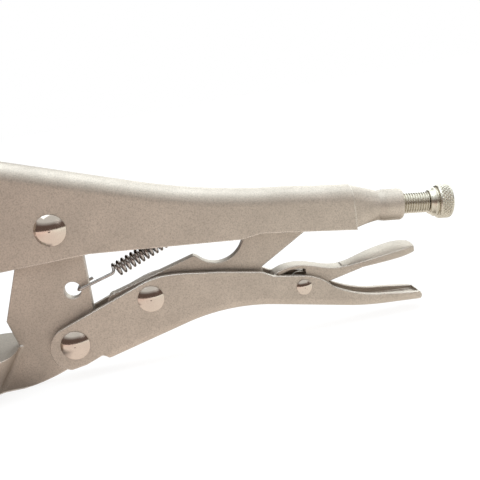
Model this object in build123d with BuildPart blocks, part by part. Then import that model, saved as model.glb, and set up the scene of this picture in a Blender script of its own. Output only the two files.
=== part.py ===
from build123d import *

import os
from math import asin, atan2, ceil, cos, pi, radians, sin, sqrt

# Locking pliers with forked jaws, locked, with the back of the moving jaw on the floor.
# X runs from the jaws to the knob, Z is up, the floor is z = 0 and the tool's mid plane is y = 0.
# Outlines are written as (x, z) from the main pivot, as seen from the -Y side.

# Overall sizes
pivot_height = 59.0         # main pivot above the floor
jaw_reach = 72.0            # main pivot to the front of both jaws
knob_end = 153.6            # main pivot to the end of the knob, along the screw
screw_fall = 7.2            # the screw axis leaves the main pivot and falls to the rear, degrees
fork_width = 40.0           # both prongs together
tip_gap = 6.0               # between the jaw tips when locked

# Sheet, plate and play
sheet = 2.2                 # pressed steel of both handles
hub_width = 8.0             # hubs of the moving jaw, between the flanges
jaw_plate = 4.5             # plate of the moving jaw
toggle_plate = 5.0
side_play = 0.3             # flat sides that pass each other
pin_play = 0.05             # a piece turning on its rivet
seat_play = 0.02            # a rivet in the sheet that it is set in
edge_match = 0.01           # how near an edge lies to the place it is found by

# Pivots, from the main pivot
handle_pivot = (-0.5, -44.8)
toggle_pivot = (30.8, -32.8)
lever_pivot = (89.1, -40.2)
toggle_end_run = 98.0       # centre of the toggle link's round end, along the screw axis
toggle_end_radius = 4.5
toggle_chin = 35.0          # where the round end meets the lower edge, degrees past straight down
toggle_end_gap = 3.5        # the open pivot: room that the link needs to swing past the screw

# Rivets: shank diameter, head diameter, head height
main_rivet = (7.0, 11.8, 2.5)
handle_rivet = (6.5, 11.0, 2.3)
toggle_rivet_size = (6.0, 10.0, 2.1)
lever_rivet_size = (3.5, 6.0, 1.5)
rivet_rim = 0.35            # upright edge below a domed head

# Upper handle
handle_front = -24.5
handle_top_slope = 0.347    # fall of the top edge over the front
handle_top_height = 22.9    # top edge above the main pivot
handle_top_bend = (36.0, 62.0, 3.2, 88.0, -1.2)     # bend: start x, middle x and z, end x and z
handle_top_rear = (113.5, -5.3)
handle_flange = [(113.0, -22.2), (76.5, -16.3), (68.5, -17.2), (12.0, -11.4), (-22.5, -11.9)]
handle_top_round = 6.2
cavity_lean = 4.0           # lean of the hollow's rear end
neck_wall = 2.15
neck_end = 134.2            # along the screw axis
neck_start = 124.2
neck_waist = 0.35           # the neck is drawn in where the shoulder meets it
waist_run = 2.5
shoulder_start = 112.8
shoulder_inset = 0.15       # step where the channel ends
shoulder_height = 16.9
shoulder_rise = 0.6         # middle of the shoulder above the screw axis
shoulder_foot_round = 0.5
neck_round = 1.4

# Screw and knob, along the screw axis
screw_diameter = 8.0
thread_pitch = 1.0
thread_depth = 0.55
point_length = 9.0          # plain point that meets the toggle link
point_chamfer = 1.5
collar_start = 144.8
knob_start = 147.9
knob_diameter = 13.4
collar_diameter = 11.4
collar_neck = 9.4
knob_round = 1.3
knob_groove = 0.6           # width of the groove between collar and disc
groove_diameter = 10.4
knob_socket = 4.0           # screw end held inside the knob

# Moving jaw
ear_radius = 11.8
main_hub = 9.5              # hub radius round the main rivet
handle_hub = 7.0            # hub radius round the lower handle's rivet
front_lean = 0.39           # forward lean of the plate's front edge
relief_rise = 10.4          # the front edge draws back this far above the fork
plate_rear = ((9.4, -4.0), (8.6, -32.0))
heel_radius = 8.9
fork_bar = 17.0             # height of the prongs
prong_gap = 26.0
prong_front_past = 4.0      # plan of the prongs past the jaw's front
crotch_bow = 4.0            # hollow of the crotch across the gap
crotch_round = 6.0
plate_foot = -21.5
lower_crotch = -38.0
# flares of the two forks: start, end, radius of the hollow and of the outer bend
ledge_flare = (-19.5, -33.5, 2.0, 12.0)
floor_flare = (-30.0, -46.0, 4.0, 12.0)
arm_flare = (-25.2, -42.0, 4.0, 12.0)
belly_start = (-3.5, -53.9) # the belly falls from here to the flat back of the fork
belly_end = -23.5
belly_bulge = 0.75
post_depth = 11.0           # upright fronts of the prongs
tip_depth = 9.0
corner_radius = 18.0        # front corner of the fork
throat_radius = 7.0
tip_level = -17.0           # middle of the gap between the tips
back_round = 8.0            # corners of a fork's back, seen from the front
spring_hole = (2.4, -24.6)
spring_hole_diameter = 6.5

# Fixed jaw
shank_rear = -18.2
shank_foot = -9.4
shank_head_gap = 4.4        # below the handle's inner top
arm_bar = 14.5
arm_crotch = -38.0

# Lower handle
ear_arc = [(-5.4, -38.2), (-10.1, -45.0), (-3.6, -54.1)]
ear_foot = [(2.0, -53.3), (7.6, -51.2)]
relief_arc = [(8.4, -50.9), (9.6, -51.4), (10.6, -52.6)]
web_rise = [(12.0, -53.0), (44.0, -45.3)]
web_arch = [(60.5, -43.6), (77.0, -45.5)]
web_fall = (107.0, -52.2)
web_tail = [(114.5, -53.4), (122.0, -54.1)]
tail_tip = [(133.6, -55.0), (136.2, -54.2), (134.4, -51.6)]
flange_tail = [(121.0, -49.5), (108.5, -46.6), (100.4, -42.4)]
flange_hollow = [(96.8, -38.9), (90.5, -36.0)]
flange_step = [(78.0, -33.6), (73.4, -31.0)]
flange_crest = [(58.0, -27.8), (46.0, -25.9), (34.0, -25.3), (28.5, -26.5)]
web_round = 3.2
tail_round = 6.0

# Toggle link
toggle_front = [(17.4, -29.0), (14.6, -31.3), (17.2, -34.4)]
toggle_peak = (49.6, -20.6)
toggle_notch = [(51.0, -21.4), (59.6, -25.1), (68.7, -19.2)]
toggle_neck = [(70.6, -14.6), (90.0, -9.0)]
toggle_heel = [(74.6, -30.0), (75.0, -34.6), (69.5, -37.0)]
toggle_belly = [(52.0, -39.6), (30.8, -41.7), (26.4, -40.6)]

# Release lever
lever_sheet = 1.4
lever_width = hub_width
lever_top = [(84.5, -32.0), (91.0, -32.5), (99.5, -35.2), (107.5, -35.7)]
lever_nose = [(74.5, -38.6), (78.9, -33.6)]
lever_skirt = [(113.0, -37.9), (99.5, -40.6), (93.0, -44.0), (86.0, -44.2), (82.6, -38.4)]
lever_window = 91.0         # the skirts are cut away ahead of here, but for an ear round the rivet
lever_ear = 4.0
rim_step = 0.7              # ledge between the paddle's crown and its turned-down rim
# paddle stations: x, half width, crown, rim top, rim foot
paddle = [
    (105.5, 4.0, -35.5, -35.8, -37.9),
    (112.0, 5.4, -34.4, -35.0, -37.4),
    (119.0, 7.2, -33.0, -33.8, -36.6),
    (125.5, 7.8, -32.1, -32.9, -36.0),
    (130.5, 7.2, -31.9, -32.5, -35.5),
    (134.2, 5.2, -32.3, -32.8, -35.1),
]

# Return spring
wire = 1.25
coil_diameter = 6.0
coil_pitch = 1.97
coil_turns = 16
coil_start = (19.4, -20.3)
coil_rise = 19.5            # lean of the coil's axis, degrees
coil_middle = 11            # turns ahead of where the coil crosses the mid plane
coil_flange_gap = 0.35      # last turn of the coil to the far flange
hook_radius = 1.3
hook_stub = 4.2
hook_lead = 2.2             # straight wire before and after the rear hook
leg_ease = 1.5              # where the front leg starts to bend into the coil
wire_play = 0.15            # hook to what it holds
anchor_diameter = 3.0
anchor_run = 6.2            # last coil to the anchor bar

inner_width = hub_width + 2 * side_play
channel_width = inner_width + 2 * sheet
neck_radius = screw_diameter / 2 + neck_wall
fall = radians(screw_fall)
knob_tail = (knob_end - knob_round) * cos(fall)
knob_tail += (knob_diameter / 2 - knob_round) * sin(fall) + knob_round
pivot_x = (jaw_reach - knob_tail) / 2
fork_floor = -pivot_height
fork_top = fork_floor + fork_bar
fork_half = fork_width / 2
gap_half = prong_gap / 2

pivot = Vector(pivot_x, 0, pivot_height)
run = Vector(cos(fall), 0, -sin(fall))
side = Plane(pivot, x_dir=(1, 0, 0), z_dir=(0, -1, 0))
screw_side = Plane(pivot, x_dir=run, z_dir=(0, -1, 0))
top_view = Plane((pivot_x, 0, 0))


# Point of the mid plane at (x, z) from the main pivot, y to the far side
def at(point, y=0.0):
    return Vector(pivot_x + point[0], y, pivot_height + point[1])


# Plane across the screw axis at a distance from the main pivot
def across(distance):
    return Plane(pivot + run * distance, x_dir=(0, 1, 0), z_dir=run)


# Edges on both flat sides of a piece whose ends are among the given outline points
def side_edges(part, points, half):
    def known(vertex):
        return any(abs(vertex.X - at(p).X) + abs(vertex.Z - at(p).Z) < edge_match for p in points)

    return [
        e
        for e in part.edges()
        if abs(abs(e.center().Y) - half) < edge_match and all(known(v) for v in e.vertices())
    ]


# Domed rivet through both flanges
def make_rivet(label, point, size):
    shank, head, height = size
    radius = head / 2
    grip = channel_width / 2
    dome = height - rivet_rim
    ball = (radius**2 + dome**2) / (2 * dome)
    half = asin(radius / ball) / 2
    crown = grip + height
    shoulder = (ball * sin(half), crown - ball + ball * cos(half))
    with BuildPart() as rivet:
        with BuildSketch(Plane(at(point), x_dir=(1, 0, 0), z_dir=(0, 0, 1))):
            with BuildLine():
                Line((0, -crown), (0, crown))
                ThreePointArc((0, crown), shoulder, (radius, grip + rivet_rim))
                Polyline(
                    (radius, grip + rivet_rim),
                    (radius, grip),
                    (shank / 2, grip),
                    (shank / 2, -grip),
                    (radius, -grip),
                    (radius, -grip - rivet_rim),
                )
                ThreePointArc((radius, -grip - rivet_rim), (shoulder[0], -shoulder[1]), (0, -crown))
            make_face()
        revolve(axis=Axis(at(point), (0, 1, 0)))
    rivet.part.label = label
    return rivet.part


# Upper handle: a channel open below, drawn in to a round neck that holds the screw
def top_edge(x):
    return handle_top_height - handle_top_slope * x


bend_start, bend_x, bend_z, bend_end_x, bend_end_z = handle_top_bend
top_points = [
    (handle_front, top_edge(handle_front)),
    (bend_start, top_edge(bend_start)),
    (bend_end_x, bend_end_z),
    handle_top_rear,
]


def lowered(point, drop):
    return (point[0], point[1] - drop)


inner_drop = sheet * sqrt(1 + handle_top_slope**2)

with BuildPart() as upper_cavity:
    with BuildSketch(side):
        with BuildLine():
            roof = [lowered(p, inner_drop) for p in top_points]
            Line((handle_front - sheet, roof[0][1] + sheet * handle_top_slope), roof[1])
            ThreePointArc(roof[1], (bend_x, bend_z - inner_drop), roof[2])
            Polyline(
                roof[2],
                roof[3],
                (roof[3][0] - cavity_lean, fork_floor),
                (handle_front - sheet, fork_floor),
                (handle_front - sheet, roof[0][1] + sheet * handle_top_slope),
            )
        make_face()
    extrude(amount=inner_width / 2, both=True)
    roof_ends = [(handle_front - sheet, roof[0][1] + sheet * handle_top_slope)] + roof[1:]
    fillet(side_edges(upper_cavity.part, roof_ends, inner_width / 2), handle_top_round - sheet)

with BuildPart() as upper_handle:
    with BuildSketch(side):
        with BuildLine():
            Line(top_points[0], top_points[1])
            ThreePointArc(top_points[1], (bend_x, bend_z), top_points[2])
            Polyline(top_points[2], top_points[3], *handle_flange, top_points[0])
        make_face()
    extrude(amount=channel_width / 2, both=True)
    fillet(side_edges(upper_handle.part, top_points, channel_width / 2), handle_top_round)
    with BuildSketch(across(shoulder_start)) as shoulder:
        with Locations((0, shoulder_rise)):
            Rectangle(channel_width - 2 * shoulder_inset, shoulder_height - 2 * shoulder_inset)
        fillet(shoulder.vertices().group_by(Axis.Y)[0], shoulder_foot_round)
        fillet(shoulder.vertices().group_by(Axis.Y)[-1], handle_top_round - shoulder_inset)
    with BuildSketch(across(neck_start)):
        Circle(neck_radius - neck_waist)
    loft()
    with BuildSketch(screw_side):
        Polygon(
            (neck_start, 0),
            (neck_start, neck_radius - neck_waist),
            (neck_start + waist_run, neck_radius),
            (neck_end, neck_radius),
            (neck_end, 0),
            align=None,
        )
    revolve(axis=Axis(pivot, run))
    fillet(upper_handle.faces().sort_by(Axis(pivot, run))[-1].edges(), neck_round)
    add(upper_cavity.part, mode=Mode.SUBTRACT)
    with BuildSketch(across(neck_end)):
        Circle(screw_diameter / 2 + pin_play)
    extrude(amount=shoulder_start - neck_end, mode=Mode.SUBTRACT)
    with BuildSketch(side):
        Circle(main_rivet[0] / 2 + seat_play)
    extrude(amount=channel_width, both=True, mode=Mode.SUBTRACT)
upper_handle.part.label = "upper_handle"


# Both sides of a strip that flares outwards: a hollow bend, a straight stretch and an outer bend
def draw_flare(strip_half, half, flare):
    flare_from, flare_to, hollow, outer = flare
    length = flare_from - flare_to
    beyond = half - strip_half - hollow - outer
    straight = sqrt(length**2 + beyond**2 - (hollow + outer) ** 2)
    turn = atan2(hollow + outer, straight) + atan2(beyond, length)
    leave = [
        (flare_from - hollow * sin(a), strip_half + hollow * (1 - cos(a)))
        for a in (0, turn / 2, turn)
    ]
    arrive = [
        (flare_to + outer * sin(a), half - outer * (1 - cos(a)))
        for a in (turn, turn / 2, 0)
    ]
    for hand in (1, -1):
        hollow_arc = [(x, hand * y) for x, y in leave]
        outer_arc = [(x, hand * y) for x, y in arrive]
        Polyline((0, 0), (0, hand * strip_half), hollow_arc[0])
        ThreePointArc(*hollow_arc)
        Line(hollow_arc[-1], outer_arc[0])
        ThreePointArc(*outer_arc)


# Plan of a fork at a height: a flared strip, then two prongs with a hollow crotch between them
def fork_plan(height, strip_half, flare, crotch):
    front = -jaw_reach - prong_front_past

    def is_crotch_corner(vertex):
        return abs(abs(vertex.Y) - gap_half) < edge_match and vertex.X > front + edge_match

    with BuildSketch(Plane((pivot_x, 0, height))) as plan:
        with BuildLine():
            draw_flare(strip_half, fork_half, flare)
            for hand in (1, -1):
                Polyline(
                    (flare[1], hand * fork_half),
                    (front, hand * fork_half),
                    (front, hand * gap_half),
                    (crotch - crotch_bow, hand * gap_half),
                )
            ThreePointArc(
                (crotch - crotch_bow, gap_half),
                (crotch, 0),
                (crotch - crotch_bow, -gap_half),
            )
        make_face()
        fillet([v for v in plan.vertices() if is_crotch_corner(v)], crotch_round)
    return plan.sketch


# Moving jaw: a plate between the flanges that stands on a fork
post_inner = -jaw_reach + post_depth
tip_edge = (post_depth - tip_depth) / 2
lower_tip = tip_level - tip_gap / 2
relief_level = fork_top + relief_rise
relief = (front_lean * relief_level - ear_radius, relief_level)
belly = [
    (belly_end, fork_floor),
    ((belly_end + belly_start[0]) / 2, (fork_floor + belly_start[1]) / 2 - belly_bulge),
    belly_start,
]


# Outline of a fork from the front, with the corners of its back rounded
def fork_front(back, tall):
    with BuildSketch(Plane.YZ) as outline:
        with Locations((0, back + tall / 2)):
            Rectangle(fork_width, abs(tall))
        fillet([v for v in outline.vertices() if abs(v.Y - back) < edge_match], back_round)
    return outline.sketch


lower_front = fork_front(0.0, pivot_height)
ledge_plan = fork_plan(fork_bar, jaw_plate / 2, ledge_flare, lower_crotch)

with BuildPart() as fork_body:
    add(fork_plan(0.0, jaw_plate / 2, floor_flare, lower_crotch))
    add(ledge_plan)
    loft(ruled=True)
    extrude(ledge_plan, amount=pivot_height)

with BuildPart() as lower_jaw:
    with BuildSketch(side):
        with BuildLine():
            Line((-jaw_reach + corner_radius, fork_floor), belly[0])
            ThreePointArc(*belly)
            Polyline(
                belly_start,
                (belly_start[0], fork_top),
                (post_inner + throat_radius, fork_top),
            )
            RadiusArc(
                (post_inner + throat_radius, fork_top),
                (post_inner, fork_top + throat_radius),
                throat_radius,
            )
            Polyline(
                (post_inner, fork_top + throat_radius),
                (post_inner - tip_edge, lower_tip),
                (-jaw_reach + tip_edge, lower_tip),
                (-jaw_reach, fork_floor + corner_radius),
            )
            RadiusArc(
                (-jaw_reach, fork_floor + corner_radius),
                (-jaw_reach + corner_radius, fork_floor),
                -corner_radius,
            )
        make_face()
    extrude(amount=fork_half, both=True)
    add(fork_body.part, mode=Mode.INTERSECT)
    extrude(lower_front, amount=2 * jaw_reach, both=True, mode=Mode.INTERSECT)
    with BuildSketch(side):
        with BuildLine():
            Polyline(belly_start, (plate_foot, fork_top), relief, (-ear_radius, 0))
            ThreePointArc((-ear_radius, 0), (0, ear_radius), (ear_radius, 0))
            heel = [
                (handle_pivot[0] + heel_radius * cos(a), handle_pivot[1] - heel_radius * sin(a))
                for a in (0, pi / 4, pi / 2)
            ]
            Polyline((ear_radius, 0), *plate_rear, heel[0])
            ThreePointArc(*heel)
            Line(heel[-1], belly_start)
        make_face()
    extrude(amount=jaw_plate / 2, both=True)
    with BuildSketch(side):
        Circle(main_hub)
        with Locations(handle_pivot):
            Circle(handle_hub)
    extrude(amount=hub_width / 2, both=True)
    with BuildSketch(side):
        Circle(main_rivet[0] / 2 + pin_play)
        with Locations(handle_pivot):
            Circle(handle_rivet[0] / 2 + pin_play)
        with Locations(spring_hole):
            Circle(spring_hole_diameter / 2)
    extrude(amount=hub_width, both=True, mode=Mode.SUBTRACT)
lower_jaw.part.label = "lower_jaw"

# Fixed jaw: the same fork, turned over, on a shank that is welded into the front of the channel
upper_tip = tip_level + tip_gap / 2
arm_top = top_edge(shank_rear) - inner_drop - shank_head_gap
arm_floor = arm_top - arm_bar
upper_plan = fork_plan(0.0, inner_width / 2, arm_flare, arm_crotch)
upper_front = fork_front(pivot_height + arm_top, -pivot_height)

with BuildPart() as fixed_jaw:
    with BuildSketch(side):
        with BuildLine():
            Polyline(
                (shank_rear, shank_foot),
                (shank_rear, arm_top),
                (-jaw_reach + corner_radius, arm_top),
            )
            RadiusArc(
                (-jaw_reach + corner_radius, arm_top),
                (-jaw_reach, arm_top - corner_radius),
                -corner_radius,
            )
            Polyline(
                (-jaw_reach, arm_top - corner_radius),
                (-jaw_reach + tip_edge, upper_tip),
                (post_inner - tip_edge, upper_tip),
                (post_inner, arm_floor - throat_radius),
            )
            RadiusArc(
                (post_inner, arm_floor - throat_radius),
                (post_inner + throat_radius, arm_floor),
                throat_radius,
            )
            Line((post_inner + throat_radius, arm_floor), (arm_crotch, arm_floor))
            ThreePointArc(
                (arm_crotch, arm_floor),
                (arm_crotch + throat_radius, arm_floor - throat_radius / 2),
                (arm_flare[0], shank_foot),
            )
            Line((arm_flare[0], shank_foot), (shank_rear, shank_foot))
        make_face()
    extrude(amount=fork_half, both=True)
    extrude(upper_plan, amount=2 * pivot_height, mode=Mode.INTERSECT)
    extrude(upper_front, amount=2 * jaw_reach, both=True, mode=Mode.INTERSECT)
fixed_jaw.part.label = "fixed_jaw"

# Lower handle: a channel open above, whose flanges run forward as two ears beside the moving jaw
web_points = web_rise + [web_arch[-1], web_fall, web_tail[-1], tail_tip[0]]


def raised(point):
    return (point[0], point[1] + sheet)


with BuildPart() as lower_cavity:
    with BuildSketch(side):
        with BuildLine():
            floor = [raised(p) for p in web_rise + web_arch + [web_fall] + web_tail + tail_tip[:1]]
            Line((web_rise[0][0], -pivot_height - sheet), floor[0])
            Line(floor[0], floor[1])
            ThreePointArc(floor[1], floor[2], floor[3])
            Line(floor[3], floor[4])
            ThreePointArc(floor[4], floor[5], floor[6])
            Polyline(
                floor[6],
                (tail_tip[1][0] - sheet, floor[7][1]),
                (tail_tip[1][0] - sheet, 0),
                (-2 * heel_radius, 0),
                (-2 * heel_radius, -pivot_height - sheet),
                (web_rise[0][0], -pivot_height - sheet),
            )
        make_face()
    extrude(amount=inner_width / 2, both=True)

with BuildPart() as lower_handle:
    with BuildSketch(side):
        with BuildLine():
            ThreePointArc(*ear_arc)
            Polyline(ear_arc[-1], *ear_foot, relief_arc[0])
            ThreePointArc(*relief_arc)
            Polyline(relief_arc[-1], *web_rise)
            ThreePointArc(web_rise[-1], *web_arch)
            Line(web_arch[-1], web_fall)
            ThreePointArc(web_fall, *web_tail)
            Polyline(web_tail[-1], *tail_tip, flange_tail[0])
            ThreePointArc(*flange_tail)
            ThreePointArc(flange_tail[-1], *flange_hollow)
            Polyline(flange_hollow[-1], *flange_step)
            Line(flange_step[-1], flange_crest[0])
            Spline(flange_crest)
            Line(flange_crest[-1], ear_arc[0])
        make_face()
    extrude(amount=channel_width / 2, both=True)
    fillet(side_edges(lower_handle.part, web_points, channel_width / 2), web_round)
    with BuildSketch(top_view):
        with Locations((tail_tip[1][0], 0)):
            RectangleRounded(
                4 * pivot_height, channel_width, tail_round, align=(Align.MAX, Align.CENTER)
            )
    extrude(amount=2 * pivot_height, mode=Mode.INTERSECT)
    add(lower_cavity.part, mode=Mode.SUBTRACT)
    with BuildSketch(side):
        for point, size in (
            (handle_pivot, handle_rivet),
            (toggle_pivot, toggle_rivet_size),
            (lever_pivot, lever_rivet_size),
        ):
            with Locations(point):
                Circle(size[0] / 2 + seat_play)
    extrude(amount=channel_width, both=True, mode=Mode.SUBTRACT)
lower_handle.part.label = "lower_handle"

# Toggle link: a flat link from the lower handle to the end of the screw
link_end = (toggle_end_run * cos(fall), -toggle_end_run * sin(fall))
chin_turn = radians(toggle_chin)

with BuildPart() as toggle_link:
    with BuildSketch(side):
        with BuildLine():
            ThreePointArc(*toggle_front)
            Polyline(toggle_front[0], toggle_peak, toggle_notch[0])
            ThreePointArc(*toggle_notch)
            crest = (link_end[0], link_end[1] + toggle_end_radius)
            chin = (
                link_end[0] + toggle_end_radius * sin(chin_turn),
                link_end[1] - toggle_end_radius * cos(chin_turn),
            )
            Polyline(toggle_notch[-1], *toggle_neck, crest)
            point = (
                link_end[0] + toggle_end_radius * cos(fall),
                link_end[1] - toggle_end_radius * sin(fall),
            )
            ThreePointArc(crest, point, chin)
            Polyline(chin, *toggle_heel, *toggle_belly, toggle_front[-1])
        make_face()
    extrude(amount=toggle_plate / 2, both=True)
    with BuildSketch(side):
        with Locations(toggle_pivot):
            Circle(toggle_rivet_size[0] / 2 + pin_play)
    extrude(amount=toggle_plate, both=True, mode=Mode.SUBTRACT)
toggle_link.part.label = "toggle_link"

# Release lever: a pressed lever with two skirts round its rivet and a crowned paddle
with BuildSketch(side) as lever_hollow:
    with BuildLine():
        roof_line = [lowered(p, lever_sheet) for p in lever_top]
        Spline((lever_nose[1][0] + lever_sheet, lever_nose[1][1] - lever_sheet), *roof_line)
        Polyline(
            roof_line[-1],
            (lever_skirt[0][0] + lever_sheet, -pivot_height),
            (lever_nose[1][0] + lever_sheet, -pivot_height),
            (lever_nose[1][0] + lever_sheet, lever_nose[1][1] - lever_sheet),
        )
    make_face()

with BuildPart() as release_lever:
    with BuildSketch(side):
        with BuildLine():
            Polyline(lever_skirt[-1], lever_nose[0], lever_nose[1])
            Spline(lever_nose[1], *lever_top)
            Line(lever_top[-1], lever_skirt[0])
            Polyline(*lever_skirt)
        make_face()
    extrude(amount=lever_width / 2, both=True)
    hollow_half = lever_width / 2 - lever_sheet
    extrude(lever_hollow.sketch, amount=hollow_half, both=True, mode=Mode.SUBTRACT)
    with BuildSketch(side):
        add(lever_hollow.sketch_local)
        with Locations((lever_window, 0)):
            Rectangle(
                2 * lever_window,
                4 * pivot_height,
                align=(Align.MAX, Align.CENTER),
                mode=Mode.INTERSECT,
            )
        with Locations(lever_pivot):
            Circle(lever_ear, mode=Mode.SUBTRACT)
    extrude(amount=lever_width, both=True, mode=Mode.SUBTRACT)
    for x, half, crown, rim_top, rim_foot in paddle:
        ledge = half - rim_step
        inner = half - lever_sheet
        under = rim_top - lever_sheet
        with BuildSketch(Plane(at((x, 0)), x_dir=(0, 1, 0), z_dir=(1, 0, 0))):
            with BuildLine():
                ThreePointArc((-ledge, rim_top), (0, crown), (ledge, rim_top))
                for hand in (1, -1):
                    Polyline(
                        (hand * ledge, rim_top),
                        (hand * half, rim_top - rim_step / 2),
                        (hand * half, rim_foot),
                        (hand * inner, rim_foot),
                        (hand * inner, under),
                    )
                ThreePointArc((inner, under), (0, crown - lever_sheet), (-inner, under))
            make_face()
    loft()
    with BuildSketch(side):
        with Locations(lever_pivot):
            Circle(lever_rivet_size[0] / 2 + pin_play)
    extrude(amount=lever_width, both=True, mode=Mode.SUBTRACT)
release_lever.part.label = "release_lever"

# Adjusting screw: a threaded rod with a plain point, drawn with its grooves
screw_tip = toggle_end_run + toggle_end_radius + toggle_end_gap
screw_radius = screw_diameter / 2
thread_root = screw_radius - thread_depth
grooves = int((collar_start - screw_tip - point_length) / thread_pitch)

with BuildPart() as adjusting_screw:
    with BuildSketch(screw_side):
        with BuildLine():
            points = [
                (screw_tip, thread_root - point_chamfer),
                (screw_tip + point_chamfer, thread_root),
            ]
            for i in range(grooves):
                u = collar_start - (grooves - i) * thread_pitch
                points += [(u, thread_root), (u + thread_pitch / 2, screw_radius)]
            points += [(collar_start, thread_root), (collar_start + knob_socket, thread_root)]
            Line((screw_tip, 0), points[0])
            Polyline(*points)
            Polyline(points[-1], (points[-1][0], 0), (screw_tip, 0))
        make_face()
    revolve(axis=Axis(pivot, run))
adjusting_screw.part.label = "adjusting_screw"

# Adjusting knob: a flared collar and a disc, held on the end of the screw
with BuildPart() as adjusting_knob:
    with BuildSketch(screw_side):
        with BuildLine():
            bore = thread_root + seat_play
            socket_end = collar_start + knob_socket + seat_play
            disc = knob_diameter / 2
            Polyline(
                (collar_start, bore),
                (collar_start, collar_neck / 2),
                (knob_start - 2 * knob_groove, collar_diameter / 2),
                (knob_start - knob_groove, collar_diameter / 2),
                (knob_start - knob_groove, groove_diameter / 2),
                (knob_start, groove_diameter / 2),
                (knob_start, disc - knob_round),
            )
            RadiusArc((knob_start, disc - knob_round), (knob_start + knob_round, disc), knob_round)
            Line((knob_start + knob_round, disc), (knob_end - knob_round, disc))
            RadiusArc((knob_end - knob_round, disc), (knob_end, disc - knob_round), knob_round)
            Polyline(
                (knob_end, disc - knob_round),
                (knob_end, 0),
                (socket_end, 0),
                (socket_end, bore),
                (collar_start, bore),
            )
        make_face()
    revolve(axis=Axis(pivot, run))
adjusting_knob.part.label = "adjusting_knob"

# Return spring: one wire, hooked through the jaw's hole, coiled, then hooked round a bar
coil_lean = radians(coil_rise)
along = Vector(cos(coil_lean), 0, sin(coil_lean))
upward = Vector(-sin(coil_lean), 0, cos(coil_lean))
nearward = Vector(0, -1, 0)
coil_shift = inner_width / 2 - coil_diameter / 2 - coil_flange_gap
coil_slew = asin(coil_shift / (coil_pitch * (coil_turns - coil_middle)))
coil_axis = along * cos(coil_slew) - nearward * sin(coil_slew)
coil_near = nearward * cos(coil_slew) + along * sin(coil_slew)
coil_base = at(coil_start) + nearward * (coil_pitch * coil_middle * sin(coil_slew))
coil_radius = (coil_diameter - wire) / 2


# Place and direction on the coil after a number of turns
def on_coil(turns):
    angle = 2 * pi * turns
    place = coil_base + coil_axis * (coil_pitch * turns)
    place += coil_near * (coil_radius * cos(angle)) + upward * (coil_radius * sin(angle))
    heading = upward * (coil_radius * cos(angle)) - coil_near * (coil_radius * sin(angle))
    return place, (heading + coil_axis * (coil_pitch / (2 * pi))).normalized()


hole_x = spring_hole[0] + spring_hole_diameter / 2 - wire / 2 - wire_play
face_gap = jaw_plate / 2 + hook_radius - wire / 2
through = at((hole_x, spring_hole[1]))
leg_aim = coil_base - coil_axis * leg_ease + coil_near * (coil_radius + wire_play)
near_exit = through + nearward * face_gap
near_leg = near_exit + nearward * hook_radius + along * hook_radius
leg_heading = (leg_aim - near_leg).normalized()
far_exit = through - nearward * face_gap
far_leg = far_exit - nearward * hook_radius + along * hook_radius
stub_end = far_leg + along * hook_stub
anchor = at(coil_start) + along * (coil_pitch * coil_turns + anchor_run)
hook_centre = anchor - nearward * coil_shift
bar_radius = anchor_diameter / 2
hook_turn = bar_radius + wire / 2 + wire_play
over_bar = hook_centre + upward * hook_turn
under_bar = hook_centre - upward * hook_turn
hook_lip = under_bar - along * hook_lead

# places on the wire's route with their headings, in order
route = [
    (stub_end, -along),
    (far_leg, -along),
    (far_exit, nearward),
    (near_exit, nearward),
    (near_leg, leg_heading),
    (leg_aim, leg_heading),
]
for i in range(2 * coil_turns):
    route.append(on_coil(0.25 + i / 2))
route += [
    (over_bar - along * hook_lead, along),
    (over_bar, along),
    (hook_centre + along * hook_turn, -upward),
    (under_bar, -along),
    (hook_lip, -along),
]


straight = 0.999999


# Arcs or a straight run between two places with given headings
def wire_span(begin, begin_heading, end, end_heading):
    span = end - begin
    if min(span.normalized().dot(begin_heading), begin_heading.dot(end_heading)) > straight:
        return [Edge.make_line(begin, end)]
    both = begin_heading + end_heading
    slack = 2 * (1 - begin_heading.dot(end_heading))
    reach = span.dot(both)
    if slack < 1e-9:
        arm = span.dot(span) / (4 * span.dot(end_heading))
    else:
        arm = (-reach + sqrt(reach**2 + slack * span.dot(span))) / slack
    joint = (begin + begin_heading * arm + end - end_heading * arm) * 0.5
    joint_heading = (end - end_heading * arm - begin - begin_heading * arm).normalized()
    return [
        Edge.make_tangent_arc(begin, begin_heading, joint),
        Edge.make_tangent_arc(joint, joint_heading, end),
    ]


spans = []
for (begin, begin_heading), (end, end_heading) in zip(route, route[1:]):
    spans += wire_span(begin, begin_heading, end, end_heading)
wire_path = Wire(spans)

with BuildPart() as return_spring:
    with BuildSketch(Plane(stub_end, z_dir=-along)):
        Circle(wire / 2)
    sweep(path=wire_path)
return_spring.part.label = "return_spring"

# Least gap of the wire to itself, between places more than three wire diameters apart along it
step = wire / 4
count = ceil(wire_path.length / step)
samples = [wire_path.position_at(i / count) for i in range(count + 1)]
skip = ceil(3 * wire / step)
least = min((p - q).length for i, p in enumerate(samples) for q in samples[i + skip:])
swept = pi * wire**2 / 4 * wire_path.length
print(f"spring wire {wire_path.length:.1f} mm, least gap to itself {least - wire:.2f} mm")
print(f"spring volume {return_spring.part.volume:.2f}, section times length {swept:.2f}")

# Bar across the inside of the upper handle that holds the spring's rear hook
with BuildPart() as spring_anchor_bar:
    with BuildSketch(Plane(anchor, x_dir=(1, 0, 0), z_dir=(0, -1, 0))):
        Circle(bar_radius)
    extrude(amount=inner_width / 2, both=True)
spring_anchor_bar.part.label = "spring_anchor_bar"

rivets = [
    make_rivet("main_pivot_rivet", (0, 0), main_rivet),
    make_rivet("handle_pivot_rivet", handle_pivot, handle_rivet),
    make_rivet("toggle_rivet", toggle_pivot, toggle_rivet_size),
    make_rivet("lever_rivet", lever_pivot, lever_rivet_size),
]

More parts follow.
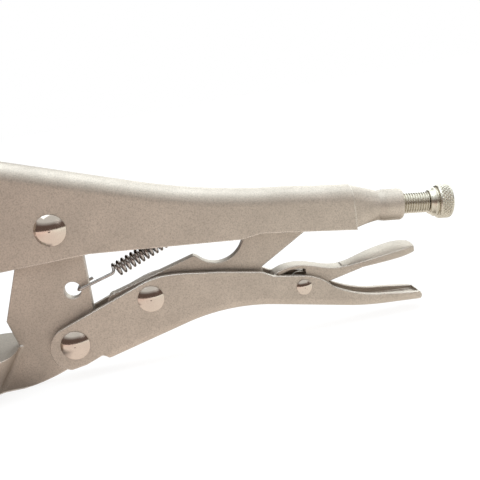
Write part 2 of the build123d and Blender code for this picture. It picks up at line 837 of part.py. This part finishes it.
pieces = [
    upper_handle.part,
    fixed_jaw.part,
    lower_jaw.part,
    lower_handle.part,
    toggle_link.part,
    release_lever.part,
    adjusting_screw.part,
    adjusting_knob.part,
    return_spring.part,
    spring_anchor_bar.part,
] + rivets

os.makedirs("parts", exist_ok=True)
for piece in pieces:
    export_step(piece, f"parts/{piece.label}.step")
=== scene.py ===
import math

import bmesh
import bpy
from mathutils import Matrix, Vector


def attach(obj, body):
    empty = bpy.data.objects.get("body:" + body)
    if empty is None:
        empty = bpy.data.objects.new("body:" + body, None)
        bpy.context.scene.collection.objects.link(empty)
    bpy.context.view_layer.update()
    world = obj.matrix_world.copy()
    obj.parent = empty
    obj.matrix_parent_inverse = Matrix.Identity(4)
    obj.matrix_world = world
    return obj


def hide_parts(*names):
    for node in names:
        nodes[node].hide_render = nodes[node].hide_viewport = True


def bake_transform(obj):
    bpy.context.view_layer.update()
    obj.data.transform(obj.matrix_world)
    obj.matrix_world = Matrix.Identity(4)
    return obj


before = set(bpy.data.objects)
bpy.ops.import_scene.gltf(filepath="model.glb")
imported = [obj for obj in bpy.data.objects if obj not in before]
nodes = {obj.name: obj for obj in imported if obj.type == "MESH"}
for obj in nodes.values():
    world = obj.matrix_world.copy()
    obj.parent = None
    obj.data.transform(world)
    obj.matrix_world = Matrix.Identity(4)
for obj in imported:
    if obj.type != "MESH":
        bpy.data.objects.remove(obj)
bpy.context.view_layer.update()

scene = bpy.context.scene
print("frame loaded:", len(nodes), "nodes")

mm = 0.001
pivotX = -40.538 * mm   # main pivot in the frame
pivotZ = 59.0 * mm


# point of the tool, given in mm from the main pivot as x, z and depth y
def toolPoint(x, z, y=0.0):
    return Vector((pivotX + x * mm, y * mm, pivotZ + z * mm))


screwFall = math.radians(7.2)
screwRun = Vector((math.cos(screwFall), 0, -math.sin(screwFall)))
screwUp = Vector((math.sin(screwFall), 0, math.cos(screwFall)))
acrossTool = Vector((0, 1, 0))


# place along the screw's axis at a radius and turn, in mm and radians
def onScrew(run, radius, turn):
    base = toolPoint(0, 0) + screwRun * (run * mm)
    return base + (screwUp * math.cos(turn) + acrossTool * math.sin(turn)) * (radius * mm)


# empty material with its tree and output
def newMaterial(name):
    mat = bpy.data.materials.new(name)
    mat.use_nodes = True
    mat.node_tree.nodes.clear()
    return mat, mat.node_tree, mat.node_tree.nodes.new("ShaderNodeOutputMaterial")


def addNode(tree, kind, **settings):
    node = tree.nodes.new(kind)
    for key, value in settings.items():
        if key in node.inputs:
            node.inputs[key].default_value = value
        else:
            setattr(node, key, value)
    return node


def noiseAt(tree, coords, scale, detail, rough):
    noise = addNode(tree, "ShaderNodeTexNoise", Scale=scale, Detail=detail, Roughness=rough)
    tree.links.new(coords, noise.inputs["Vector"])
    return noise.outputs["Fac"]


def rangeOf(tree, value, fromLow, fromHigh, toLow, toHigh):
    node = tree.nodes.new("ShaderNodeMapRange")
    ends = {"From Min": fromLow, "From Max": fromHigh, "To Min": toLow, "To Max": toHigh}
    for key, number in ends.items():
        node.inputs[key].default_value = number
    tree.links.new(value, node.inputs["Value"])
    return node.outputs["Result"]


def mixColours(tree, factor, low, high):
    node = tree.nodes.new("ShaderNodeMix")
    node.data_type = "RGBA"
    for socket, colour in ((node.inputs[6], low), (node.inputs[7], high)):
        if isinstance(colour, tuple):
            socket.default_value = (*colour, 1.0)
        else:
            tree.links.new(colour, socket)
    tree.links.new(factor, node.inputs[0])
    return node.outputs[2]


edgeFind = {"samples": 6, "turned": (0.98, 0.80)}       # cosines between the two normals
cloudSpan = (0.3, 0.7)      # the part of the noise's range that the mottling uses


# how far the rounded normal leaves the true one: edges worn bright, with a painted highlight
def edgeAmount(tree, radius):
    bevel = addNode(tree, "ShaderNodeBevel", Radius=radius, samples=edgeFind["samples"])
    geometry = tree.nodes.new("ShaderNodeNewGeometry")
    dot = addNode(tree, "ShaderNodeVectorMath", operation="DOT_PRODUCT")
    tree.links.new(bevel.outputs["Normal"], dot.inputs[0])
    tree.links.new(geometry.outputs["Normal"], dot.inputs[1])
    return bevel.outputs["Normal"], rangeOf(tree, dot.outputs["Value"], *edgeFind["turned"], 0.0, 1.0)


# plated metal: base colour with mottling, a fine grain, softened edges worn bright and given a painted
# highlight, and uneven gloss
def platedMetal(name, look):
    mat, tree, out = newMaterial(name)
    shader = addNode(tree, "ShaderNodeBsdfPrincipled", Metallic=1.0)
    tree.links.new(shader.outputs["BSDF"], out.inputs["Surface"])
    coords = tree.nodes.new("ShaderNodeTexCoord").outputs["Object"]
    cloud = noiseAt(tree, coords, look["cloudScale"], detail=3.0, rough=0.6)
    speck = noiseAt(tree, coords, look["grainScale"], detail=2.0, rough=0.7)
    dark = tuple(c * look["cloudDark"] for c in look["base"])
    colour = mixColours(tree, rangeOf(tree, cloud, *cloudSpan, 0.0, 1.0), dark, look["base"])
    speckDark = tuple(c * look["speckDark"] for c in look["base"])
    speckShare = rangeOf(tree, speck, look["speckFrom"], look["speckTo"], 1.0, 0.0)
    colour = mixColours(tree, speckShare, colour, speckDark)
    normal, edge = edgeAmount(tree, look["edgeRound"])
    # lighter colour at the edges: wear plus a painted highlight
    colour = mixColours(tree, edge, colour, look["edgeColour"])
    tree.links.new(colour, shader.inputs["Base Color"])
    low, high = look["gloss"]
    gloss = addNode(tree, "ShaderNodeMix", data_type="FLOAT")
    tree.links.new(rangeOf(tree, cloud, *cloudSpan, high, low), gloss.inputs[2])
    gloss.inputs[3].default_value = look["edgeGloss"]
    tree.links.new(edge, gloss.inputs[0])
    tree.links.new(gloss.outputs[0], shader.inputs["Roughness"])
    bump = addNode(tree, "ShaderNodeBump", Strength=look["grainDepth"], Distance=look["grainHeight"])
    tree.links.new(speck, bump.inputs["Height"])
    tree.links.new(normal, bump.inputs["Normal"])
    tree.links.new(bump.outputs["Normal"], shader.inputs["Normal"])
    return mat


satinLook = {
    "base": (0.585, 0.515, 0.445),
    "edgeColour": (0.82, 0.76, 0.70), "edgeGloss": 0.26,
    "cloudScale": 90.0, "cloudDark": 0.90,
    "grainScale": 2100.0, "speckDark": 0.68, "speckFrom": 0.28, "speckTo": 0.58,
    "edgeRound": 0.7 * mm,
    "gloss": (0.50, 0.58),
    "grainDepth": 0.45, "grainHeight": 0.06 * mm,
}
satinNickel = platedMetal("satinNickel", satinLook)

forgedLook = dict(satinLook, cloudScale=60.0, cloudDark=0.86, edgeRound=0.8 * mm, gloss=(0.50, 0.60))
forgedNickel = platedMetal("forgedNickel", forgedLook)

rivetLook = dict(
    satinLook,
    base=(0.60, 0.52, 0.45), edgeColour=(0.70, 0.63, 0.56),
    cloudScale=240.0, cloudDark=0.94,
    grainScale=900.0, speckDark=0.86, speckFrom=0.25, speckTo=0.40,
    edgeRound=0.06 * mm, gloss=(0.09, 0.15), edgeGloss=0.2, grainDepth=0.10, grainHeight=0.03 * mm,
)
polishedNickel = platedMetal("polishedNickel", rivetLook)

screwLook = dict(
    satinLook,
    base=(0.62, 0.57, 0.48), edgeColour=(0.72, 0.68, 0.60),
    cloudScale=320.0, cloudDark=0.80,
    grainScale=1800.0, speckDark=0.70, speckFrom=0.28, speckTo=0.42,
    edgeRound=0.1 * mm, gloss=(0.24, 0.34), grainDepth=0.15, grainHeight=0.02 * mm,
)
machinedSteel = platedMetal("machinedSteel", screwLook)

wireLook = dict(
    satinLook,
    base=(0.50, 0.465, 0.44), edgeColour=(0.56, 0.53, 0.50),
    cloudScale=500.0, cloudDark=0.70,
    grainScale=2500.0, speckDark=0.70, speckFrom=0.30, speckTo=0.45,
    edgeRound=0.05 * mm, gloss=(0.12, 0.20), grainDepth=0.10, grainHeight=0.02 * mm,
)
springWire = platedMetal("springWire", wireLook)

finishOf = {
    "upper_handle": satinNickel, "lower_handle": satinNickel,
    "toggle_link": satinNickel, "release_lever": satinNickel,
    "fixed_jaw": forgedNickel, "lower_jaw": forgedNickel,
    "main_pivot_rivet": polishedNickel, "handle_pivot_rivet": polishedNickel,
    "toggle_rivet": polishedNickel, "lever_rivet": polishedNickel,
    "adjusting_screw": machinedSteel, "adjusting_knob": machinedSteel,
    "return_spring": springWire, "spring_anchor_bar": springWire,
}
for nodeName, finish in finishOf.items():
    mesh = nodes[nodeName].data
    mesh.materials.clear()
    mesh.materials.append(finish)
print("finishes set:", len(finishOf))


def meshPiece(name, points, faces, finish):
    mesh = bpy.data.meshes.new(name)
    mesh.from_pydata([tuple(p) for p in points], [], faces)
    mesh.validate()
    piece = bpy.data.objects.new(name, mesh)
    scene.collection.objects.link(piece)
    build = bmesh.new()
    build.from_mesh(mesh)
    bmesh.ops.recalc_face_normals(build, faces=build.faces)
    build.to_mesh(mesh)
    build.free()
    mesh.materials.append(finish)
    for polygon in mesh.polygons:
        polygon.use_smooth = True
    return piece


# skin over rings of points, open or closed round, with a point closing each end where given
def ringSkin(rings, startCap=None, endCap=None):
    count = len(rings[0])
    points = [p for ring in rings for p in ring]
    faces = []
    for i in range(len(rings) - 1):
        for j in range(count):
            k = (j + 1) % count
            faces.append((i * count + j, i * count + k, (i + 1) * count + k, (i + 1) * count + j))
    for cap, first in ((startCap, 0), (endCap, (len(rings) - 1) * count)):
        if cap is not None:
            points.append(cap)
            faces += [(first + j, first + (j + 1) % count, len(points) - 1) for j in range(count)]
    return points, faces


# screw: a plain point, then a true helical thread up to the knob
threadCut = {
    "tip": 106.0, "point": 9.0, "chamfer": 1.5, "end": 144.7,
    "radius": 4.0, "depth": 0.55, "pitch": 1.0, "runOut": 1.0,
    "flank": 1.9, "valley": 0.35,       # slope of the thread's sides and width of its root
    "round": 72, "perPitch": 10,
}


def threadRadius(run, turn):
    t = threadCut
    root = t["radius"] - t["depth"]
    past = run - t["tip"]
    phase = (run / t["pitch"] - turn / (2 * math.pi)) % 1.0
    ridge = min(1.0, max(0.0, t["flank"] * (1.0 - abs(2 * phase - 1.0)) - t["valley"]))
    ridge *= min(1.0, max(0.0, (past - t["point"]) / t["runOut"]))
    return min(root + t["depth"] * ridge, root - t["chamfer"] + past)


screwRings = []
turns = [2 * math.pi * j / threadCut["round"] for j in range(threadCut["round"])]
screwLength = threadCut["end"] - threadCut["tip"]
steps = int(screwLength / threadCut["pitch"] * threadCut["perPitch"])
for i in range(steps + 1):
    run = threadCut["tip"] + screwLength * i / steps
    screwRings.append([onScrew(run, threadRadius(run, a), a) for a in turns])
screwEnds = [onScrew(threadCut[k], 0, 0) for k in ("tip", "end")]
points, faces = ringSkin(screwRings, *screwEnds)
screw = meshPiece("adjustingScrew", points, faces, machinedSteel)
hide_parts("adjusting_screw")
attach(screw, "adjusting_screw")
print("screw thread cut:", len(points), "points")

# knob: flared collar, groove and a disc with crossed knurling on its rim
knobCut = {
    "start": 144.8, "discStart": 147.9, "end": 153.6,
    "boreRadius": 3.5, "neckRadius": 4.7, "collarRadius": 5.7, "grooveRadius": 5.2,
    "discRadius": 6.7, "edgeRound": 1.3, "flareRun": 1.7, "groove": 0.6,
    "neckBreak": 0.2, "flareBend": 1.6, "lipBreak": 0.12,
    "dishRadius": 4.2, "dish": 0.12, "dishSlope": 0.4, "dishInner": 1.5,
    "ridges": 28, "lean": 0.66, "depth": 0.38, "steep": 2.1, "margin": 0.5, "fade": 0.7,
    "round": 336, "rimSteps": 40, "bendSteps": 8,
}


def knurlDepth(run, turn):
    k = knobCut
    low = k["discStart"] + k["margin"]
    high = k["end"] - k["margin"]
    if not low < run < high:
        return 0.0
    fade = min(1.0, (run - low) / k["fade"], (high - run) / k["fade"])
    cut = 0.0
    for hand in (1, -1):
        phase = (k["ridges"] * turn / (2 * math.pi) + hand * (run - low) * k["lean"]) % 1.0
        cut = max(cut, 1.0 - abs(2 * phase - 1.0) * k["steep"])
    return k["depth"] * cut * fade


def knobOutline():
    k = knobCut
    flare = k["collarRadius"] - k["neckRadius"]
    lip = k["discStart"] - k["groove"]
    neckEnd = k["start"] + k["neckBreak"]
    shares = [i / k["bendSteps"] for i in range(k["bendSteps"] + 1)]
    line = [(k["start"], k["boreRadius"]), (k["start"], k["neckRadius"] - k["neckBreak"])]
    for share in shares:        # flare, hollow like a trumpet
        line.append((neckEnd + k["flareRun"] * share, k["neckRadius"] + flare * share ** k["flareBend"]))
    line += [(lip - k["lipBreak"], k["collarRadius"]), (lip, k["collarRadius"] - k["lipBreak"])]
    line += [(lip, k["grooveRadius"]), (k["discStart"], k["grooveRadius"])]
    r = k["edgeRound"]
    quarter = [math.pi / 2 * share for share in shares]
    inner = k["discRadius"] - r
    line += [(k["discStart"] + r - r * math.cos(a), inner + r * math.sin(a)) for a in quarter]
    rim = k["end"] - k["discStart"] - 2 * r
    for i in range(1, k["rimSteps"]):
        line.append((k["discStart"] + r + rim * i / k["rimSteps"], k["discRadius"]))
    line += [(k["end"] - r + r * math.sin(a), inner + r * math.cos(a)) for a in quarter]
    dishFloor = k["end"] - k["dish"]
    line += [(k["end"], k["dishRadius"] + k["dishSlope"])]
    line += [(dishFloor, k["dishRadius"]), (dishFloor, k["dishInner"])]
    return line


turns = [2 * math.pi * j / knobCut["round"] for j in range(knobCut["round"])]
knobRings = []
for run, radius in knobOutline():
    knobRings.append([onScrew(run, radius - knurlDepth(run, a), a) for a in turns])
knobEnds = [onScrew(knobCut["start"], 0, 0), onScrew(knobCut["end"] - knobCut["dish"], 0, 0)]
points, faces = ringSkin(knobRings, *knobEnds)
knob = meshPiece("adjustingKnob", points, faces, machinedSteel)
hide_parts("adjusting_knob")
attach(knob, "adjusting_knob")
print("knob knurled:", len(points), "points")

# return spring: hook through the jaw's hole, coil, hook on the bar in the handle
springForm = {
    "wire": 1.25, "coil": 6.0, "pitch": 1.97, "turns": 16, "start": (19.4, -20.3), "rise": 19.5,
    "hole": (2.4, -24.6), "holeSize": 6.5, "plate": 4.5, "hook": 1.3, "stub": 4.2, "ease": 1.5,
    "bar": 3.0, "barRun": 6.2, "lead": 2.2, "play": 0.15, "round": 12, "perTurn": 28,
    "middle": 11, "shift": 0.95,      # the coil crosses the mid plane and ends this far behind it
    "stubSteps": 6, "plateSteps": 10, "legSteps": 12, "leadSteps": 4, "barSteps": 20,
    "easePull": 0.45,
}


# places of a straight run, without its first
def straightRun(begin, end, steps):
    return [begin.lerp(end, i / steps) for i in range(1, steps + 1)]


# places of a bend from the first arm of its centre to the second
def roundBend(centre, first, second, steps=10, sweep=math.pi / 2):
    angles = [sweep * i / steps for i in range(1, steps + 1)]
    return [centre + first * math.cos(a) + second * math.sin(a) for a in angles]


# places of an easy curve between two headings
def easyCurve(begin, beginHeading, end, endHeading, steps=13):
    pull = (end - begin).length * springForm["easePull"]
    held = [begin, begin + beginHeading * pull, end - endHeading * pull, end]
    curve = []
    for i in range(1, steps + 1):
        t = i / steps
        shares = [(1 - t) ** 3, 3 * t * (1 - t) ** 2, 3 * t * t * (1 - t), t ** 3]
        curve.append(sum((p * share for p, share in zip(held, shares)), Vector()))
    return curve


def springRoute():
    s = springForm
    lean = math.radians(s["rise"])
    along = Vector((math.cos(lean), 0, math.sin(lean)))
    upward = Vector((-math.sin(lean), 0, math.cos(lean)))
    near = Vector((0, -1, 0))
    start = Vector((s["start"][0], 0, s["start"][1]))
    radius = (s["coil"] - s["wire"]) / 2
    slew = math.asin(s["shift"] / (s["pitch"] * (s["turns"] - s["middle"])))
    axis = along * math.cos(slew) - near * math.sin(slew)
    axisSide = near * math.cos(slew) + along * math.sin(slew)
    base = start + near * (s["pitch"] * s["middle"] * math.sin(slew))

    def onCoil(turns):
        a = 2 * math.pi * turns
        side = axisSide * math.cos(a) + upward * math.sin(a)
        return base + axis * (s["pitch"] * turns) + side * radius

    h = s["hook"]
    holeX = s["hole"][0] + s["holeSize"] / 2 - s["wire"] / 2 - s["play"]
    through = Vector((holeX, 0, s["hole"][1]))
    face = s["plate"] / 2 + h - s["wire"] / 2
    farLeg = through - near * (face + h) + along * h
    nearExit = through + near * face
    nearLeg = nearExit + near * h + along * h
    aim = base - axis * s["ease"] + axisSide * (radius + s["play"])
    stubEnd = farLeg + along * s["stub"]
    route = [stubEnd] + straightRun(stubEnd, farLeg, s["stubSteps"])
    route += roundBend(farLeg + near * h, -near * h, -along * h)
    route += straightRun(route[-1], nearExit, s["plateSteps"])
    route += roundBend(nearExit + along * h, -along * h, near * h)
    route += straightRun(nearLeg, aim, s["legSteps"])
    coilSteps = int((s["turns"] - 0.5) * s["perTurn"])
    coil = [onCoil(0.25 + i / s["perTurn"]) for i in range(coilSteps + 1)]
    route += easyCurve(aim, (aim - nearLeg).normalized(), coil[0], (coil[1] - coil[0]).normalized())
    route += coil[1:]
    bar = start + along * (s["pitch"] * s["turns"] + s["barRun"]) - near * s["shift"]
    turnRadius = s["bar"] / 2 + s["wire"] / 2 + s["play"]
    overBar = bar + upward * turnRadius
    lead = overBar - along * s["lead"]
    route += easyCurve(coil[-1], (coil[-1] - coil[-2]).normalized(), lead, along)
    route += straightRun(lead, overBar, s["leadSteps"])
    route += roundBend(bar, upward * turnRadius, along * turnRadius, s["barSteps"], math.pi)
    route += straightRun(route[-1], route[-1] - along * s["lead"], s["leadSteps"])
    return route


# tube of a wire along a route, with its frame carried on without twist
def wireTube(route, radius, count):
    rings = []
    side = (route[1] - route[0]).orthogonal()
    for i, place in enumerate(route):
        ahead = (route[min(i + 1, len(route) - 1)] - route[max(i - 1, 0)]).normalized()
        side = (side - ahead * side.dot(ahead)).normalized()
        other = ahead.cross(side)
        ring = []
        for j in range(count):
            a = 2 * math.pi * j / count
            p = place + (side * math.cos(a) + other * math.sin(a)) * radius
            ring.append(toolPoint(p.x, p.z, p.y))
        rings.append(ring)
    ends = [toolPoint(p.x, p.z, p.y) for p in (route[0], route[-1])]
    return ringSkin(rings, *ends)


points, faces = wireTube(springRoute(), springForm["wire"] / 2, springForm["round"])
spring = meshPiece("returnSpring", points, faces, springWire)
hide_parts("return_spring")
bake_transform(spring)
print("spring wound:", len(points), "points")


# studio: pale floor, soft light from above, a glowing wall that only gloss shows, as painted reflections
studio = {
    "floorSize": 8.0, "floorColour": (0.90, 0.895, 0.885),
    "floorGlow": 0.85, "floorShade": 0.20,        # what the camera and gloss see of the floor
    "airColour": (0.80, 0.79, 0.78), "airWhite": (1.0, 1.0, 1.0),
    "airGloss": (0.86, 0.90, 0.91),
}


# share of rays that see the stage directly: camera, gloss and clear things
def seenDirectly(tree):
    path = tree.nodes.new("ShaderNodeLightPath")
    first = addNode(tree, "ShaderNodeMath", operation="MAXIMUM")
    second = addNode(tree, "ShaderNodeMath", operation="MAXIMUM")
    tree.links.new(path.outputs["Is Camera Ray"], first.inputs[0])
    tree.links.new(path.outputs["Is Glossy Ray"], first.inputs[1])
    tree.links.new(first.outputs[0], second.inputs[0])
    tree.links.new(path.outputs["Is Transmission Ray"], second.inputs[1])
    return second.outputs[0]


def stagePiece(name, points, faces, mat):
    mesh = bpy.data.meshes.new(name)
    mesh.from_pydata(points, [], faces)
    mesh.materials.append(mat)
    holder = bpy.data.objects.new(name, mesh)
    scene.collection.objects.link(holder)
    return holder


world = bpy.data.worlds.new("studioAir")
scene.world = world
world.use_nodes = True
sky = world.node_tree
sky.nodes.clear()
skyOut = sky.nodes.new("ShaderNodeOutputWorld")
skyLight = sky.nodes.new("ShaderNodeBackground")
skyPath = sky.nodes.new("ShaderNodeLightPath").outputs
skyColour = mixColours(sky, skyPath["Is Glossy Ray"], studio["airColour"], studio["airGloss"])
skyColour = mixColours(sky, skyPath["Is Camera Ray"], skyColour, studio["airWhite"])
sky.links.new(skyColour, skyLight.inputs["Color"])
sky.links.new(skyLight.outputs["Background"], skyOut.inputs["Surface"])

floorMat, floorTree, floorOut = newMaterial("paleFloor")
shade = studio["floorShade"]
floorBounce = addNode(floorTree, "ShaderNodeBsdfDiffuse", Color=(*studio["floorColour"], 1.0))
floorShadow = addNode(floorTree, "ShaderNodeBsdfDiffuse", Color=(shade, shade, shade, 1.0))
floorGlow = addNode(floorTree, "ShaderNodeEmission", Strength=studio["floorGlow"])
floorSeen = floorTree.nodes.new("ShaderNodeAddShader")
floorMix = floorTree.nodes.new("ShaderNodeMixShader")
floorTree.links.new(floorShadow.outputs[0], floorSeen.inputs[0])
floorTree.links.new(floorGlow.outputs[0], floorSeen.inputs[1])
floorTree.links.new(seenDirectly(floorTree), floorMix.inputs[0])
floorTree.links.new(floorBounce.outputs[0], floorMix.inputs[1])
floorTree.links.new(floorSeen.outputs[0], floorMix.inputs[2])
floorTree.links.new(floorMix.outputs[0], floorOut.inputs["Surface"])
half = studio["floorSize"] / 2
corners = [(-half, -half, 0), (half, -half, 0), (half, half, 0), (-half, half, 0)]
stagePiece("floor", corners, [(0, 1, 2, 3)], floorMat)

# the wall stands round the tool and glows as a painted reflection: dark in front and on the left behind,
# bright upwards
reflectionWall = {
    "radius": 1.0, "low": 0.004, "top": 0.75, "round": 48,
    "front": (0.16, 0.115, 0.10), "frontFade": (0.40, 0.75), "frontRim": (0.80, 0.83, 0.84),
    "back": (0.16, 0.145, 0.14), "backFade": (0.06, 0.36), "backRim": (2.90, 3.12, 3.12),
    "backAlong": (-0.06, 0.10), "turn": (-0.45, 0.45),      # where left and front give way
}
wallMat, wallTree, wallOut = newMaterial("reflectionGlow")
wallPlace = addNode(wallTree, "ShaderNodeSeparateXYZ")
wallTree.links.new(wallTree.nodes.new("ShaderNodeNewGeometry").outputs["Position"], wallPlace.inputs[0])
towardsBack = rangeOf(wallTree, wallPlace.outputs["Y"], *reflectionWall["turn"], 0.0, 1.0)
frontUp = rangeOf(wallTree, wallPlace.outputs["Z"], *reflectionWall["frontFade"], 0.0, 1.0)
backUp = rangeOf(wallTree, wallPlace.outputs["Z"], *reflectionWall["backFade"], 0.0, 1.0)
backRight = rangeOf(wallTree, wallPlace.outputs["X"], *reflectionWall["backAlong"], 0.0, 1.0)
backLit = addNode(wallTree, "ShaderNodeMath", operation="MULTIPLY")
wallTree.links.new(backUp, backLit.inputs[0])
wallTree.links.new(backRight, backLit.inputs[1])
frontColour = mixColours(wallTree, frontUp, reflectionWall["front"], reflectionWall["frontRim"])
# painted reflection: the back glows up to three times white, the front glows dark
backColour = mixColours(wallTree, backLit.outputs[0], reflectionWall["back"], reflectionWall["backRim"])
wallColour = mixColours(wallTree, towardsBack, frontColour, backColour)
wallGlow = wallTree.nodes.new("ShaderNodeEmission")
wallTree.links.new(wallColour, wallGlow.inputs["Color"])
wallTree.links.new(wallGlow.outputs[0], wallOut.inputs["Surface"])
wallPoints = []
for level in (reflectionWall["low"], reflectionWall["top"]):
    for i in range(reflectionWall["round"]):
        a = 2 * math.pi * i / reflectionWall["round"]
        wallPoints.append((reflectionWall["radius"] * math.cos(a), reflectionWall["radius"] * math.sin(a), level))
wallFaces = []
for i in range(reflectionWall["round"]):
    k = (i + 1) % reflectionWall["round"]
    wallFaces.append((i, k, k + reflectionWall["round"], i + reflectionWall["round"]))
wall = stagePiece("reflectionWall", wallPoints, wallFaces, wallMat)

# a glowing warm card lies before the tool, out of the picture, and only gloss shows it: a painted
# reflection, warmer to the left and brighter further off
warmCard = {
    "level": 0.0005, "side": 0.95, "near": -0.95, "far": 0.15,
    "left": (1.10, 0.90, 0.83), "right": (1.18, 1.20, 1.13), "from": -0.25, "to": 0.20,
    "beyond": (-0.10, -0.30), "beyondGain": 1.18,
    "shade": 0.30, "shadeAcross": (-0.030, -0.012), "shadeAlong": (-0.048, -0.062),    # painted shadow of the tool below the fork, seen only in gloss
}
cardMat, cardTree, cardOut = newMaterial("warmCard")
cardPlace = addNode(cardTree, "ShaderNodeSeparateXYZ")
cardTree.links.new(cardTree.nodes.new("ShaderNodeNewGeometry").outputs["Position"], cardPlace.inputs[0])
towardsRight = rangeOf(cardTree, cardPlace.outputs["X"], warmCard["from"], warmCard["to"], 0.0, 1.0)
# the card's glow is a painted reflection on the metal
cardGlow = cardTree.nodes.new("ShaderNodeEmission")
cardColour = mixColours(cardTree, towardsRight, warmCard["left"], warmCard["right"])
# painted shadow: the card goes dark under the fork, standing in for the tool's own shadow
cardShade = addNode(cardTree, "ShaderNodeMath", operation="MAXIMUM")
for socket, way, ends in ((0, "Y", warmCard["shadeAcross"]), (1, "X", warmCard["shadeAlong"])):
    share = rangeOf(cardTree, cardPlace.outputs[way], *ends, 1.0, warmCard["shade"])
    cardTree.links.new(share, cardShade.inputs[socket])
cardGain = addNode(cardTree, "ShaderNodeMath", operation="MULTIPLY")
beyond = rangeOf(cardTree, cardPlace.outputs["Y"], *warmCard["beyond"], 1.0, warmCard["beyondGain"])
cardTree.links.new(cardShade.outputs[0], cardGain.inputs[0])
cardTree.links.new(beyond, cardGain.inputs[1])
cardTree.links.new(cardColour, cardGlow.inputs["Color"])
cardTree.links.new(cardGain.outputs[0], cardGlow.inputs["Strength"])
cardTree.links.new(cardGlow.outputs[0], cardOut.inputs["Surface"])
side, level = warmCard["side"], warmCard["level"]
cardPoints = [(x, y, level) for x, y in (
    (-side, warmCard["near"]), (side, warmCard["near"]), (side, warmCard["far"]), (-side, warmCard["far"]),
)]
card = stagePiece("warmCard", cardPoints, [(0, 1, 2, 3)], cardMat)
for sheet in (wall, card):
    sheet.visible_camera = False
    sheet.visible_diffuse = False
    sheet.visible_shadow = False

lamps = {
    "softbox": {
        "place": (-0.05, 0.12, 1.15), "size": (1.7, 1.2), "power": 12.5, "colour": (0.80, 0.92, 1.0),
    },
    "window": {
        "place": (0.75, -0.85, 0.62), "size": (0.34, 0.26), "power": 1.6, "colour": (1.0, 1.0, 1.0),
    },
}


lampAim = Vector((0, 0, 0.05))
for lampName, lamp in lamps.items():
    light = bpy.data.lights.new(lampName, "AREA")
    light.shape = "RECTANGLE"
    light.size, light.size_y = lamp["size"]
    light.energy = lamp["power"]
    light.color = lamp["colour"]
    holder = bpy.data.objects.new(lampName, light)
    holder.location = lamp["place"]
    holder.rotation_mode = "QUATERNION"
    holder.rotation_quaternion = (lampAim - Vector(lamp["place"])).to_track_quat("-Z", "Y")
    scene.collection.objects.link(holder)

cameraLook = {
    "place": (46.66, 41.50, -281.78), "yaw": 4.4, "pitch": 12.0, "roll": 10.25, "lens": 56.25,
    "sensor": 36.0, "clip": 0.01,
}
yaw, pitch, roll = (math.radians(cameraLook[k]) for k in ("yaw", "pitch", "roll"))
ahead = Vector((math.sin(yaw) * math.cos(pitch), math.cos(yaw) * math.cos(pitch), -math.sin(pitch)))
levelRight = Vector((math.cos(yaw), -math.sin(yaw), 0))
levelUp = levelRight.cross(ahead)
right = levelRight * math.cos(roll) - levelUp * math.sin(roll)
up = levelRight * math.sin(roll) + levelUp * math.cos(roll)
cameraData = bpy.data.cameras.new("photoCamera")
cameraData.sensor_width = cameraLook["sensor"]
cameraData.lens = cameraLook["lens"]
cameraData.clip_start = cameraLook["clip"]
camera = bpy.data.objects.new("photoCamera", cameraData)
scene.collection.objects.link(camera)
turn = Matrix((right, up, -ahead)).transposed()
camera.matrix_world = Matrix.Translation(toolPoint(*cameraLook["place"])) @ turn.to_4x4()
scene.camera = camera
scene.view_settings.view_transform = "Standard"
print("studio ready")
